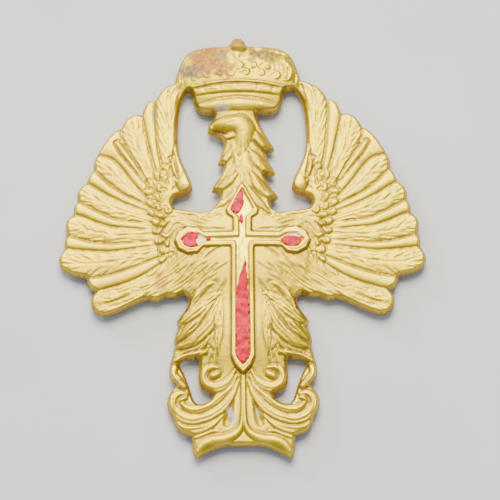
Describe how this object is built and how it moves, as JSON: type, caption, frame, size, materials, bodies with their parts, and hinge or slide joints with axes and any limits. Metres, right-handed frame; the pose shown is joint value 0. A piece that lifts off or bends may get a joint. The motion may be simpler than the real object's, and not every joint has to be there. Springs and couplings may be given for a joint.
{
  "type": "cap badge",
  "caption": "Die-struck brass cap badge: crowned eagle with spread wings and a red-enamelled sword cross, on bendable prongs.",
  "frame": {"origin": "centre of the badge's outline in X and Y, on the surface that the folded prongs lie on", "axes": "+Y towards the crown, +Z out of the badge's face, +X to the right as the face is seen"},
  "size_m": [0.0396, 0.047, 0.0034],
  "materials": {
    "struck_brass": "aged, worn and softly polished",
    "red_enamel": "fired gloss, chipped",
    "strip_brass": "rolled, dull",
    "solder": "dull grey tin solder"
  },
  "bodies": {
    "badge": {"struck_shell": "struck_brass", "enamel_point": "red_enamel", "enamel_neck": "red_enamel", "enamel_left_lobe": "red_enamel", "enamel_left_arm": "red_enamel", "enamel_right_lobe": "red_enamel", "enamel_blade": "red_enamel", "upper_prong_base": "strip_brass", "lower_prong_base": "strip_brass", "upper_prong_solder": "solder", "lower_prong_solder": "solder"},
    "upper_prong_top_leg": {"upper_prong_top_leg": "strip_brass"},
    "upper_prong_bottom_leg": {"upper_prong_bottom_leg": "strip_brass"},
    "lower_prong_top_leg": {"lower_prong_top_leg": "strip_brass"},
    "lower_prong_bottom_leg": {"lower_prong_bottom_leg": "strip_brass"}
  },
  "joints": [
    {"name": "upper_prong_top_leg_bend", "type": "hinge", "parent": "badge", "child": "upper_prong_top_leg", "pos_m": [-0.0002, 0.015, 0.00025], "axis": [-1, 0, 0], "range_deg": [0, 90]},
    {"name": "upper_prong_bottom_leg_bend", "type": "hinge", "parent": "badge", "child": "upper_prong_bottom_leg", "pos_m": [-0.0002, 0.011, 0.00025], "axis": [1, 0, 0], "range_deg": [0, 90]},
    {"name": "lower_prong_top_leg_bend", "type": "hinge", "parent": "badge", "child": "lower_prong_top_leg", "pos_m": [0, -0.0071, 0.00025], "axis": [-1, 0, 0], "range_deg": [0, 90]},
    {"name": "lower_prong_bottom_leg_bend", "type": "hinge", "parent": "badge", "child": "lower_prong_bottom_leg", "pos_m": [0, -0.0111, 0.00025], "axis": [1, 0, 0], "range_deg": [0, 90]}
  ]
}
